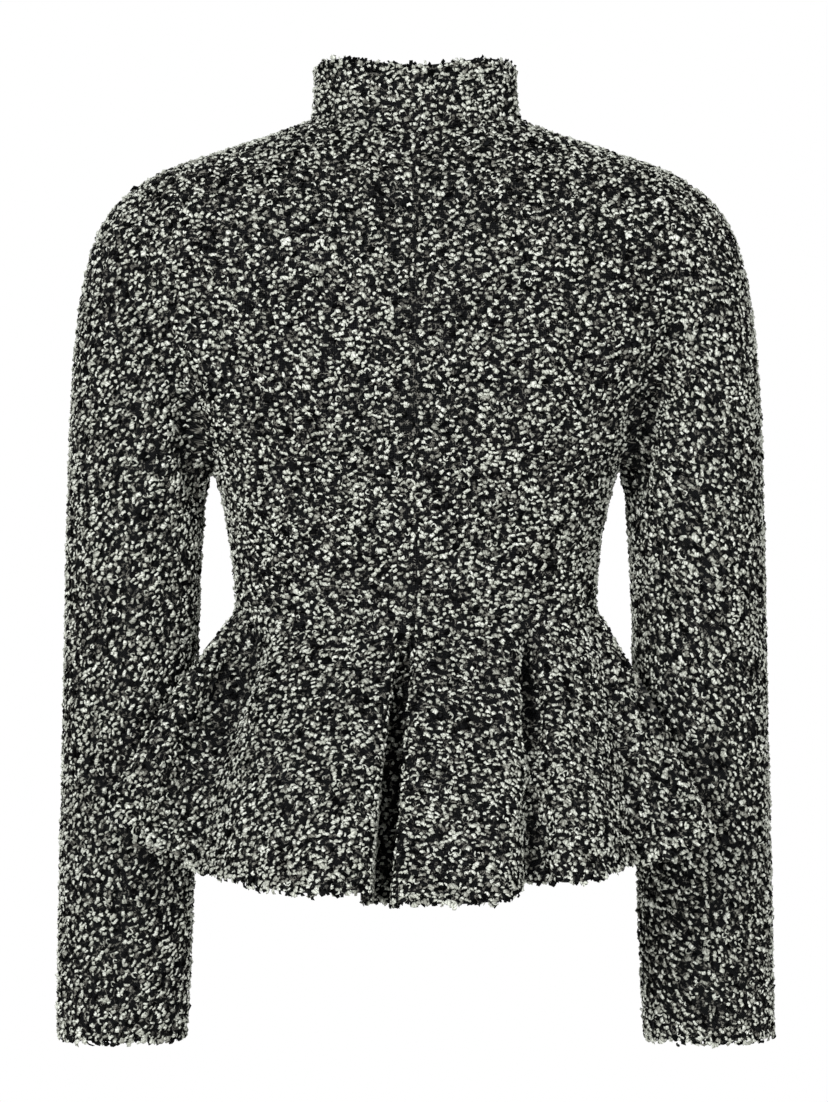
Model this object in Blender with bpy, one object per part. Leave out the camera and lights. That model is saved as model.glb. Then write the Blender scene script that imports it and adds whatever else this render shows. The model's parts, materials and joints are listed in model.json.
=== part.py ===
"""Boucle jacket with a stand collar and a fluted peplum, filled out and hollow.

+X is the wearer's left, -Y the front and +Z up. The origin is the middle of the neck base, level
with the points where the shoulder seams meet the collar. Sizes are in millimetres.
"""

import math

import bpy
import numpy as np

MM = 0.001

# The cloth is a thick boucle: a woven ground with curled loops on its face.
WALL = 4.0
SEAM_GAP = 0.3
BOUCLE_COLOUR = (0.105, 0.105, 0.1, 1.0)
BOUCLE_ROUGHNESS = 0.95

# Level rings of the body, from the waist seam up to the neck. A ring passes the side, the centre
# back and the centre front at three heights. Between the underarm and the shoulder tip its sides
# lie inside the armholes, so there only its front and back are cloth.
BODY_COLUMNS = (
    "side_z", "half_width", "back_z", "back_depth", "front_z", "front_depth", "squareness",
)
BODY_SECTIONS = (
    (-369, 137.5, -394, 86, -380, 92, 2.2),
    (-345, 138.5, -356, 86, -350, 93, 2.2),
    (-315, 142.0, -318, 92, -318, 101, 2.2),
    (-290, 148.0, -286, 101, -286, 111, 2.3),
    (-267, 154.0, -258, 107, -258, 118, 2.3),
    (-242, 169.0, -231, 110, -231, 122, 2.35),
    (-210, 188.0, -197, 113, -200, 124, 2.4),
    (-165, 211.0, -153, 113, -158, 121, 2.4),
    (-115, 229.0, -110, 105, -118, 113, 2.4),
    (-80, 231.0, -74, 94, -92, 103, 2.3),
    (-53, 215.0, -48, 82, -72, 93, 2.2),
    (-38, 190.0, -32, 72, -60, 85, 2.1),
    (-23, 146.0, -20, 63, -51, 77, 2.0),
    (-10, 104.0, -13, 58, -44, 70, 2.0),
    (0, 80.0, -9, 55, -40, 65, 2.0),
)
WAIST_ROW = 0
UNDERARM_ROW = 4
SHOULDER_TIP_ROW = 10
NECK_ROW = len(BODY_SECTIONS) - 1

# The armhole seam lies in a plane that leans outwards from the underarm to the shoulder tip.

# Level rings of the left sleeve below the underarm, down to the cuff.
SLEEVE_COLUMNS = ("z", "centre_x", "centre_y", "half_width", "half_depth")
SLEEVE_SECTIONS = (
    (-300, 213.0, -6, 53.0, 62),
    (-365, 215.6, -7, 51.8, 60),
    (-440, 217.0, -10, 52.0, 58),
    (-520, 219.2, -17, 52.4, 53),
    (-600, 221.6, -26, 52.4, 48),
    (-660, 224.0, -34, 51.8, 45),
    (-702, 225.8, -40, 51.2, 43),
)
# The sleeve head rises from its seam (ease) and hangs down by the first ring. Pulls are shares of
# the distance from the seam to that ring.
HEAD_EASE = 0.3
HEAD_SEAM_PULL = 0.18
HEAD_RING_PULL = 0.62
# Round the armhole from its top, the cloth leaves the seam along the body as far as the first
# angle, and straight down from the second.
HEAD_SMOOTH_TO = 60.0
HEAD_DROPS_FROM = 150.0

# The collar stands on the neck ring.
COLLAR_TOP_COLUMNS = ("half_width", "back_depth", "front_depth", "side_z", "back_z", "front_z")
COLLAR_TOP = (78.0, 54.0, 64.0, 41.0, 37.0, 10.0)
COLLAR_NECK_IN = 1.5
# Its top edge rises between the sides and the centre back and front.
COLLAR_QUARTER_RISE = 5.0

# Folds of the peplum, from the centre front round the left side, the back and the right side. Each
# row is a line of the cloth from its place on the waist seam (an angle round it) to the hem.
FOLD_COLUMNS = ("waist_angle", "hem_x", "hem_y", "hem_z")
FOLDS = (
    ("centre front, left edge", -90, 0, -166, -562),
    ("left front flute", -72, 56, -186, -562),
    ("left front valley", -54, 92, -130, -566),
    ("left front side flute", -36, 150, -152, -556),
    ("left front side flank", -16, 138, -70, -560),
    ("left side seam", -2, 144, -6, -556),
    ("left side valley", 4, 151, 40, -552),
    ("left side flute, front", 8, 196, 62, -535),
    ("left side flute, tip", 12, 230, 92, -516),
    ("left side flute, back", 16, 214, 114, -526),
    ("left side flute, root", 20, 178, 112, -549),
    ("left valley", 24, 161, 100, -563),
    ("left flute, outer edge", 34, 131, 146, -567),
    ("left flute", 52, 91, 177, -573),
    ("left flute, inner edge", 78, 38, 177, -573),
    ("centre valley", 86, 27, 118, -585),
    ("centre flute, left edge", 92, 15, 183, -579),
    ("centre flute", 106, -28, 193, -580),
    ("centre flute, right edge", 120, -70, 180, -577),
    ("right valley", 127, -84, 142, -567),
    ("right flute, inner edge", 134, -102, 163, -567),
    ("right flute", 145, -128, 162, -565),
    ("right flute, outer edge", 157, -149, 132, -560),
    ("right back valley", 162, -166, 99, -557),
    ("right side flute, root", 166, -182, 112, -550),
    ("right side flute, back", 169, -210, 112, -538),
    ("right side flute, tip", 172, -219, 92, -531),
    ("right side flute, front", 175, -190, 62, -542),
    ("right side valley", 178, -150, 40, -552),
    ("right side seam", 182, -144, -6, -556),
    ("right front side flank", 196, -138, -70, -560),
    ("right front side flute", 216, -150, -152, -556),
    ("right front valley", 234, -92, -130, -566),
    ("right front flute", 252, -56, -186, -562),
    ("centre front, right edge", 270, 0, -166, -562),
)
LEFT_SIDE_SEAM = 5
RIGHT_SIDE_SEAM = 29
# The peplum springs out a little below the waist seam, as a share of its flare.
PEPLUM_SPRING = 0.07

# Divisions of the panels.
BODY_COLUMN_COUNT = 12
WAIST_TO_UNDERARM_ROWS = 7
ARMHOLE_ROWS = 12
SHOULDER_ROWS = 6
SLEEVE_HALF_COLUMNS = 12
SLEEVE_HEAD_ROWS = 9
SLEEVE_ROWS_PER_SECTION = 2
COLLAR_COLUMNS = 40
COLLAR_ROWS = 3
PEPLUM_COLUMNS_PER_FOLD = 3
PEPLUM_ROWS = 6

DIFFERENCE = 0.01


def clear_scene():
    for obj in list(bpy.data.objects):
        bpy.data.objects.remove(obj)


def unit(vector):
    return vector / np.linalg.norm(vector)


def smooth_step(value, low, high):
    share = min(1.0, max(0.0, (value - low) / (high - low)))
    return share * share * (3 - 2 * share)


def through_rows(values, place):
    """A smooth curve through values, one for each row, at a place counted in rows."""
    last = len(values) - 1
    row = min(max(int(math.floor(place)), 0), last - 1)
    share = place - row
    start, end = values[row], values[row + 1]
    before = values[row - 1] if row > 0 else 2 * start - end
    after = values[row + 2] if row + 2 <= last else 2 * end - start
    rise_start, rise_end = (end - before) / 2, (after - start) / 2
    square, cube = share**2, share**3
    return (
        (2 * cube - 3 * square + 1) * start
        + (cube - 2 * square + share) * rise_start
        + (3 * square - 2 * cube) * end
        + (cube - square) * rise_end
    )


def row_values(columns, rows, place):
    """Every named column of a table at a place counted in rows."""
    return dict(zip(columns, through_rows(np.array(rows, float), place)))


def rounded(share, squareness):
    """A cosine or sine of a ring's angle, drawn out so that the ring is fuller than an ellipse."""
    return math.copysign(abs(share) ** (2 / squareness), share)


def ring_point(angle, half_width, back_depth, front_depth, side_z, back_z, front_z, squareness=2.0):
    """A point of a ring: 0 is the wearer's left, 90 the back, 180 the right and 270 the front."""
    across, along = math.cos(math.radians(angle)), math.sin(math.radians(angle))
    depth, end_z = (back_depth, back_z) if along >= 0 else (front_depth, front_z)
    return np.array((
        half_width * rounded(across, squareness),
        depth * rounded(along, squareness),
        side_z + (end_z - side_z) * along**2,
    ))


def body_point(angle, row):
    return ring_point(angle, **row_values(BODY_COLUMNS, BODY_SECTIONS, row))


def normal_of(surface, a, b):
    """The outward normal of a surface whose first direction runs anticlockwise and second up."""
    along_a = surface(a + DIFFERENCE, b) - surface(a - DIFFERENCE, b)
    along_b = surface(a, b + DIFFERENCE) - surface(a, b - DIFFERENCE)
    return unit(np.cross(along_a, along_b))


def armhole_half_angle(row):
    """How far round from the side the armhole's edge lies on the body's ring at this row."""
    if not UNDERARM_ROW < row < SHOULDER_TIP_ROW:
        return 0.0
    foot, tip, section = (
        row_values(BODY_COLUMNS, BODY_SECTIONS, place)
        for place in (UNDERARM_ROW, SHOULDER_TIP_ROW, row)
    )
    share = (section["side_z"] - foot["side_z"]) / (tip["side_z"] - foot["side_z"])
    seam_x = foot["half_width"] + (tip["half_width"] - foot["half_width"]) * share
    width_share = min(1.0, seam_x / section["half_width"])
    return math.degrees(math.acos(width_share ** (section["squareness"] / 2)))


def armhole_row(turn):
    """The body row at an angle round the armhole: 0 is its top, 90 the back, 180 the underarm."""
    middle = (SHOULDER_TIP_ROW + UNDERARM_ROW) / 2
    return middle + (SHOULDER_TIP_ROW - middle) * math.cos(math.radians(turn))


def armhole_body_angle(turn):
    side = math.copysign(1, math.sin(math.radians(turn)))
    return side * armhole_half_angle(armhole_row(turn))


def armhole_point(turn):
    return body_point(armhole_body_angle(turn), armhole_row(turn))


def sleeve_ring_point(turn, place):
    section = row_values(SLEEVE_COLUMNS, SLEEVE_SECTIONS, place)
    return np.array((
        section["centre_x"] + section["half_width"] * math.cos(math.radians(turn)),
        section["centre_y"] + section["half_depth"] * math.sin(math.radians(turn)),
        section["z"],
    ))


def head_direction(turn, seam, ring):
    """Which way the sleeve's cloth leaves the armhole seam."""
    along_seam = unit(armhole_point(turn + DIFFERENCE) - armhole_point(turn - DIFFERENCE))
    outward = normal_of(body_point, armhole_body_angle(turn), armhole_row(turn))
    along_body = unit(np.cross(along_seam, outward)) + HEAD_EASE * outward
    from_top = abs((turn + 180) % 360 - 180)
    drop = smooth_step(from_top, HEAD_SMOOTH_TO, HEAD_DROPS_FROM)
    return unit((1 - drop) * unit(along_body) + drop * unit(ring - seam))


def sleeve_point(turn, place):
    """The left sleeve: place 0 is the armhole seam, 1 the first ring, then one for each section."""
    if place >= 1:
        return sleeve_ring_point(turn, place - 1)
    seam, ring = armhole_point(turn), sleeve_ring_point(turn, 0)
    reach = np.linalg.norm(ring - seam)
    hang = unit(sleeve_ring_point(turn, DIFFERENCE) - ring)
    first = seam + HEAD_SEAM_PULL * reach * head_direction(turn, seam, ring)
    second = ring - HEAD_RING_PULL * reach * hang
    rest = 1 - place
    return (
        rest**3 * seam
        + 3 * rest**2 * place * first
        + 3 * rest * place**2 * second
        + place**3 * ring
    )


def collar_point(angle, share):
    """The collar, from the neck ring up to its top edge, a little drawn in between."""
    base = body_point(angle, NECK_ROW)
    top = ring_point(angle, **dict(zip(COLLAR_TOP_COLUMNS, COLLAR_TOP)))
    point = base + (top - base) * share
    point[2] += COLLAR_QUARTER_RISE * share * math.sin(2 * math.radians(angle)) ** 2
    inward = COLLAR_NECK_IN * math.sin(math.pi * share)
    point[:2] -= inward * unit(point[:2])
    return point


def peplum_point(place, share):
    """The peplum: place counts the rows of FOLDS, share runs from the waist seam to the hem."""
    waist_angle, *hem = through_rows(np.array([row[1:] for row in FOLDS], float), place)
    waist = body_point(waist_angle, WAIST_ROW)
    flare = np.array(hem) - waist
    spring = PEPLUM_SPRING * math.sin(math.pi * share)
    return waist + flare * (share + np.array((spring, spring, 0.0)))


def pulled_in(points, sides):
    """A grid of points with the named edges drawn in by half a seam gap."""
    step = SEAM_GAP / 2
    points = points.copy()
    edges = {
        "first_column": ((slice(None), 0), (slice(None), 1)),
        "last_column": ((slice(None), -1), (slice(None), -2)),
        "first_row": ((0,), (1,)),
        "last_row": ((-1,), (-2,)),
    }
    for side in sides:
        edge, inside = edges[side]
        way = points[inside] - points[edge]
        points[edge] += step * way / np.linalg.norm(way, axis=-1, keepdims=True)
    return points


def wall_of(surface, grid, sides, facing=1):
    """The outer and inner points of a cloth panel over a grid of surface places."""
    outer = np.array([[surface(a, b) for a, b in row] for row in grid])
    normals = np.array([[facing * normal_of(surface, a, b) for a, b in row] for row in grid])
    return pulled_in(outer, sides), pulled_in(outer - WALL * normals, sides)


def boucle_material(name):
    material = bpy.data.materials.new(name)
    material.use_nodes = True
    shader = material.node_tree.nodes["Principled BSDF"]
    shader.inputs["Base Color"].default_value = BOUCLE_COLOUR
    shader.inputs["Roughness"].default_value = BOUCLE_ROUGHNESS
    shader.inputs["Metallic"].default_value = 0.0
    return material


def grid_faces(rows, columns, start, flipped):
    """Quads over a grid of points numbered from start."""
    faces = []
    for row in range(rows - 1):
        for column in range(columns - 1):
            corner = start + row * columns + column
            face = (corner, corner + 1, corner + columns + 1, corner + columns)
            faces.append(face[::-1] if flipped else face)
    return faces


def rim_faces(rows, columns):
    """Quads that join the edges of the outer grid to those of the inner grid."""
    edge = [column for column in range(columns)]
    edge += [row * columns + columns - 1 for row in range(1, rows)]
    edge += [(rows - 1) * columns + column for column in range(columns - 2, -1, -1)]
    edge += [row * columns for row in range(rows - 2, 0, -1)]
    inner = rows * columns
    following = edge[1:] + edge[:1]
    return [(b, a, a + inner, b + inner) for a, b in zip(edge, following)]


def add_panel(name, walls, mirrored=False):
    """A closed cloth panel as a named object, from its outer and inner points."""
    outer, inner = walls
    rows, columns = outer.shape[:2]
    points = np.concatenate((outer.reshape(-1, 3), inner.reshape(-1, 3))) * MM
    if mirrored:
        points[:, 0] *= -1
    faces = grid_faces(rows, columns, 0, flipped=False)
    faces += grid_faces(rows, columns, rows * columns, flipped=True)
    faces += rim_faces(rows, columns)
    if mirrored:
        faces = [face[::-1] for face in faces]
    mesh = bpy.data.meshes.new(name)
    mesh.from_pydata(points.tolist(), [], faces)
    mesh.materials.append(boucle_material(name + "_boucle"))
    mesh.shade_smooth()
    mesh.set_sharp_from_angle(angle=math.radians(50))
    obj = bpy.data.objects.new(name, mesh)
    bpy.context.scene.collection.objects.link(obj)
    return obj


def body_rows():
    """Rows of a body panel, close together where the armhole's edge turns."""
    below = list(np.linspace(WAIST_ROW, UNDERARM_ROW, WAIST_TO_UNDERARM_ROWS))
    beside = [armhole_row(180 * (1 - k / ARMHOLE_ROWS)) for k in range(1, ARMHOLE_ROWS)]
    above = list(np.linspace(SHOULDER_TIP_ROW, NECK_ROW, SHOULDER_ROWS))
    return below + beside + above


def add_body_panels():
    """The two backs meet at the centre back seam, and the two fronts edge to edge in front."""
    every_side = ("first_column", "last_column", "first_row", "last_row")
    for name, from_angle, towards in (("back", 1, 90), ("front", -1, -90)):
        grid = []
        for row in body_rows():
            start = from_angle * armhole_half_angle(row)
            grid.append([(angle, row) for angle in np.linspace(start, towards, BODY_COLUMN_COUNT + 1)])
        if from_angle < 0:
            grid = [row[::-1] for row in grid]
        walls = wall_of(body_point, grid, every_side)
        add_panel(name + "_left", walls)
        add_panel(name + "_right", walls, mirrored=True)


def add_sleeves():
    """Each sleeve is cut in two: a top sleeve outside and an under sleeve towards the body."""
    head = list(np.linspace(0, 1, SLEEVE_HEAD_ROWS))
    sections = len(SLEEVE_SECTIONS) - 1
    below = list(np.linspace(1, 1 + sections, sections * SLEEVE_ROWS_PER_SECTION + 1))[1:]
    sides = ("first_column", "last_column", "first_row")
    for name, first_turn in (("sleeve_top", -90), ("sleeve_under", 90)):
        turns = first_turn + np.linspace(0, 180, SLEEVE_HALF_COLUMNS + 1)
        grid = [[(turn, place) for turn in turns[::-1]] for place in head + below]
        walls = wall_of(sleeve_point, grid, sides, facing=-1)
        add_panel(name + "_left", walls)
        add_panel(name + "_right", walls, mirrored=True)


def add_collar():
    angles = np.linspace(-90, 270, COLLAR_COLUMNS + 1)
    shares = np.linspace(0, 1, COLLAR_ROWS + 1)
    grid = [[(angle, share) for angle in angles] for share in shares]
    add_panel("collar", wall_of(collar_point, grid, ("first_column", "last_column", "first_row")))


def add_peplum():
    """A back and two fronts, which meet at the side seams and edge to edge in front."""
    pieces = (
        ("peplum_front_left", 0, LEFT_SIDE_SEAM),
        ("peplum_back", LEFT_SIDE_SEAM, RIGHT_SIDE_SEAM),
        ("peplum_front_right", RIGHT_SIDE_SEAM, len(FOLDS) - 1),
    )
    shares = np.linspace(0, 1, PEPLUM_ROWS + 1)
    sides = ("first_column", "last_column", "first_row")
    for name, start, end in pieces:
        places = np.linspace(start, end, (end - start) * PEPLUM_COLUMNS_PER_FOLD + 1)
        grid = [[(place, share) for place in places[::-1]] for share in shares]
        add_panel(name, wall_of(peplum_point, grid, sides, facing=-1))


def main():
    clear_scene()
    add_body_panels()
    add_sleeves()
    add_collar()
    add_peplum()


main()
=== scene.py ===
"""Bouclé peplum jacket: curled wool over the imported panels, frayed edges and a pale studio."""

import json
import math

import bmesh
import bpy
import numpy as np
from bpy.props import FloatProperty, FloatVectorProperty, IntProperty, PointerProperty
from mathutils import Matrix, Vector
from mathutils.kdtree import KDTree

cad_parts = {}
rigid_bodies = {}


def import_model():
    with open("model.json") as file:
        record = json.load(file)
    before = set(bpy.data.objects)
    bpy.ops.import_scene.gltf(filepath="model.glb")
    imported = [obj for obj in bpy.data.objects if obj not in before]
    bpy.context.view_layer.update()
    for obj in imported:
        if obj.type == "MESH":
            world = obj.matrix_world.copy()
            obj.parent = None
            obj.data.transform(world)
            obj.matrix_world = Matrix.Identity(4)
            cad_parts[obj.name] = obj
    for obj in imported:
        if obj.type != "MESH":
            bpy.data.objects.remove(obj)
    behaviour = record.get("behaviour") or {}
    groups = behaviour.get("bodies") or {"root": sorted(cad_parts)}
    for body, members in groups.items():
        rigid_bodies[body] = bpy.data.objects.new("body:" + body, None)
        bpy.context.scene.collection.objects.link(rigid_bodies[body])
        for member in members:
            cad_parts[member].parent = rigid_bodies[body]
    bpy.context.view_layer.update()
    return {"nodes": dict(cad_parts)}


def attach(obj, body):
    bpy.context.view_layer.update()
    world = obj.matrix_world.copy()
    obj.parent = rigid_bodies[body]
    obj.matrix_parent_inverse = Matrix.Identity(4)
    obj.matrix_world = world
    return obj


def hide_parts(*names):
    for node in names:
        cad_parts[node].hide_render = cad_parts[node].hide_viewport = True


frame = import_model()

bl_info = {
    "name": "Bouclé peplum jacket",
    "version": (1, 0, 0),
    "blender": (4, 5, 0),
    "location": "View3D > Sidebar > Jacket",
    "description": "Dresses the jacket's panels in curled black and off-white wool",
    "category": "Object",
}

MM = 0.001
# Lengths, and areas of flat triangles, that count as nothing.
TINY = 1e-9
TINY_AREA = 1e-12

# How each group of panels is cut: node, smoothing levels, the lean of its weft from level in
# degrees, because the sleeves are cut on the cross, the share of its curls that are pale, and
# how far the curls turn from the weft, in radians.
BODY_PANELS = tuple(
    (name, 1, 0.0, 0.62, 0.58) for name in ("back_left", "back_right", "front_left", "front_right")
)
SLEEVE_PANELS = tuple(
    (f"sleeve_{half}_{side}", 1, lean, 0.63, 0.40)
    for side, lean in (("left", 52.0), ("right", -52.0))
    for half in ("top", "under")
)
COLLAR_PANELS = (("collar", 1, 0.0, 0.74, 0.65),)
PEPLUM_PANELS = tuple(
    (f"peplum_{part}", 2, 0.0, 0.62, 0.58) for part in ("back", "front_left", "front_right")
)
ALL_PANELS = BODY_PANELS + SLEEVE_PANELS + COLLAR_PANELS + PEPLUM_PANELS

# Soft troughs in the worn cloth, in mm: panels by the start of their name, side that they lie
# on (1 back, -1 front), across and height of the start and of the end, half width, depth.
# A negative depth is a ridge.
CREASES = (
    ("back_right", 1, (-192, -160), (-168, -232), 8, 5.0),
    ("back_right", 1, (-170, -218), (-152, -300), 8, 5.0),
    ("back_left", 1, (190, -164), (166, -232), 8, 4.5),
    ("back_left", 1, (168, -220), (150, -300), 9, 8.0),
    ("sleeve", 1, (-198, -155), (-172, -236), 10, 14.0),
    ("sleeve", 1, (-176, -214), (-156, -300), 10, 17.0),
    ("sleeve", 1, (195, -164), (171, -232), 9, 9.5),
    ("sleeve", 1, (173, -220), (154, -300), 11, 17.0),
    ("back_right", 1, (-12, -327), (-72, -346), 10, 1.5),
    ("back_left", 1, (34, -299), (88, -318), 11, 1.2),
    ("back_left", 1, (20, -352), (78, -362), 9, 0.9),
    ("back_right", 1, (-30, -290), (-86, -302), 12, -0.8),
    ("front_left", -1, (176, -196), (132, -262), 14, 3.0),
    ("front_right", -1, (-178, -192), (-136, -264), 13, 3.2),
    ("front_left", -1, (24, -322), (92, -338), 10, 1.3),
    ("front_right", -1, (-30, -334), (-96, -318), 11, 1.4),
    ("front_right", -1, (-20, -300), (-70, -292), 10, 0.8),
    ("sleeve", -1, (238, -418), (188, -436), 10, 2.4),
    ("sleeve", -1, (246, -452), (196, -462), 9, 1.8),
    ("sleeve", -1, (-236, -426), (-186, -440), 11, 2.2),
    ("sleeve", -1, (-250, -470), (-200, -458), 9, 1.6),
    ("peplum_back", 1, (5, -365), (27, -610), 6.5, 27.0),
    ("peplum_back", 1, (-84, -365), (-86, -470), 6, 17.0),
    ("peplum_back", 1, (-65, -370), (-65, -450), 8, -5.0),
    ("peplum_back", 1, (-86, -520), (-90, -595), 8, 9.0),
    ("peplum_back", 1, (122, -375), (190, -540), 17, 24.0),
    ("peplum_back", 1, (-166, -395), (-200, -560), 11, 10.0),
)
# Folds whose lips close over them, as in the table above, with the share of the way that the
# lips move in last.
PINCHES = (
    ("peplum_back", 1, (5, -365), (30, -660), 16, 0.92),
    ("peplum_back", 1, (-84, -365), (-86, -500), 11, 0.45),
)
# Where on a half wave a fold's strength starts, and how much of the wave it runs through.
FOLD_FADE = (0.15, 0.7)
# The waist seam lies above this height, and the peplum's folds reach their full depth this far
# below it, in mm.
FOLD_TOP = -450
FOLD_START = 12

# Points of a packed panel nearer than this are one, in mm. Its skin ends at edges steeper than
# the first angle, quads may bend by the second, and cloth is smooth up to the third, in degrees.
WELD = 0.01
SKIN_ANGLE = 60
QUAD_ANGLE = 80
SMOOTH_ANGLE = 60
# Edges that lie nearer than this before creasing are sewn together, in mm.
SEAM_REACH = 4
# Panels, by the start of their name, that are sewn all round.
ALL_SEWN = ("back", "front")
# Curls nearer to a plain seam than this, in mm, are caught along it by the stitches and turn
# from it by this much, in radians. The seam is measured in steps of this length, in mm.
SEAM_SIDE = 3.2
SEAM_TURN = 0.3
SEAM_STEP = 1.5
# A sleeve's seams show less than the centre back seam, so their bare strip is this share of it.
SLEEVE_BARE = 0.6
# How far a cuff's and the collar's raw edge is worn round at its sides, in mm.
RAW_ROUND = 3

# Frayed curls of the raw edges, by the group of the panel: how far they end inside and past
# the edge in mm, their size against the cloth's as a power of e, the share that is pale.
FRAY = {
    "collar": (-2.2, 0.9, 0.05, 0.42),
    "sleeve": (-1.6, 1.9, 0.20, 0.48),
    "peplum": (-1.6, 1.9, 0.24, 0.48),
}
# How unevenly a raw edge runs and how far its curls lie under and over the cloth, in mm, their
# turn in radians, the spread of their size, and the range of shade of pale and of dark ones.
FRAY_WAVE = 0.7
FRAY_DEPTH = (-1.6, 0.9)
FRAY_TURN = 0.9
FRAY_SPREAD = 0.22
FRAY_SHADES = ((0.6, 0.98), (0.02, 0.42))
# Sets the frayed edges' chance apart from that of the cloth.
FRAY_SEED = 100

# Curl shapes of the yarn, in mm: length along the curl, bend in radians, radius of the
# yarn, rise in the middle, sides, rings, share among its colour.
LIGHT_CURLS = (
    (3.6, 1.6, 1.60, 0.9, 3, 3, 0.36),
    (4.5, 2.1, 1.15, 0.8, 3, 3, 0.30),
    (3.8, 0.9, 1.05, 0.7, 3, 3, 0.14),
    (2.5, 1.2, 1.50, 1.0, 3, 2, 0.14),
    (7.0, 4.2, 0.66, 0.6, 3, 5, 0.06),
)
DARK_CURLS = (
    (4.2, 1.0, 1.45, 0.8, 3, 2, 0.80),
    (7.0, 4.0, 0.85, 0.6, 3, 3, 0.20),
)
LOOSE_THREADS = ((6.5, 1.6, 0.45, 0.6, 3, 4, 1.0),)
# Where a curl's first ring stands and how much the steps between rings are widened, in steps.
RING_START = 0.45
RING_WIDEN = 0.1
# How far a curl's tips reach past its path in radii, how much thinner the yarn is at its ends,
# and its height against its width.
TIP_REACH = 0.5
TAPER = 0.25
FLATTENED = 0.62
# How near the crown a curl's two tips count for the painted shade, from 0 at the root to 1.
TIP_CROWN = 0.35
# How much painted shade darkens the yarn where it twists away, from 0 to 1, how far it twists
# along a curl in radians, and how the curl's shade sets the twist's start.
TWIST_PAINTED_SHADE = 0.1
TWIST = 7
TWIST_START = 57
# How far the curls' colour map stays from its edge.
MAP_RIM = 0.01

# How far a curl strays along its row and away from it, in pitches, and how many pitches past
# a triangle of the cloth are searched for its curls.
CURL_STRAY = (0.42, 0.28)
STRAY_REACH = 2.5
# Least lift of a curl and what chance adds to it, as shares of the lift that is set.
CURL_LIFT = (0.4, 1.2)
# Size of a curl and its spread, as powers of e, and a dark curl's size against a pale one's.
CURL_SIZE = (0.07, 0.18)
DARK_SIZE = 0.95
# Shade of a pale and of a dark curl, from 0 black to 1 white: middle, spread, least, most.
PALE_SHADE = (0.8, 0.13, 0.5, 0.99)
DARK_SHADE = (0.2, 0.18, 0.01, 0.47)
# How much of a curl's shade is its own, and how much it shares with the one before it.
TONE_SHARES = (0.8, 0.6)
# Places along a row that are dealt their pale curls together.
DEAL = 4
# Rows and curls that a paler or darker streak of the cloth takes up.
STREAK = (3, 6)

# Grey of single fibres and of yarn that is half pale.
GREY_WOOL = "#77766f"
# Soft square lights: name, place and side in metres, the setting of their power, share of it.
LIGHTS = (
    ("key_light", (1.3, 2.5, 0.7), 1.0, "key_power", 1.0),
    ("fill_light", (-1.6, 2.1, -0.5), 1.6, "fill_power", 1.0),
    ("front_light", (0.4, -2.6, 1.5), 2.0, "fill_power", 2.6),
)
# Point that the lights face and the floor's side in metres, the cells along that side, and the
# width of the camera's sensor in mm.
LIGHTS_AIM = (0, 0, -0.33)
FLOOR_SIDE = 3.4
FLOOR_CELLS = 8
SENSOR_WIDTH = 36.0

# Flat cloth of each finished panel: arrays of its ground before it gets its thickness.
sheets = {}


def linear(colour):
    """Linear colour with alpha from an sRGB hex value."""
    values = [int(colour[k : k + 2], 16) / 255 for k in (1, 3, 5)]
    turned = [v / 12.92 if v <= 0.04045 else ((v + 0.055) / 1.055) ** 2.4 for v in values]
    return (*turned, 1.0)


def add_node(tree, kind, inputs=None, links=None, stops=(), **settings):
    """Adds one shader node with its settings, socket values, links and a ramp's colour stops."""
    made = tree.nodes.new("ShaderNode" + kind)
    for name, value in settings.items():
        setattr(made, name, value)
    for socket, value in (inputs or {}).items():
        made.inputs[socket].default_value = value
    for socket, source in (links or {}).items():
        tree.links.new(source, made.inputs[socket])
    if stops:
        ramp = made.color_ramp.elements
        ramp.remove(ramp[-1])
        ramp[0].position, ramp[0].color = stops[0]
        for place, colour in stops[1:]:
            ramp.new(place).color = colour
    return made


def drop_old(kept, name):
    """Removes what an earlier run left under this name."""
    if name in kept:
        kept.remove(kept[name])


def new_material(name):
    """The empty node tree of a named material that is made afresh."""
    drop_old(bpy.data.materials, name)
    material = bpy.data.materials.new(name)
    material.use_nodes = True
    material.node_tree.nodes.clear()
    return material.node_tree


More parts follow.
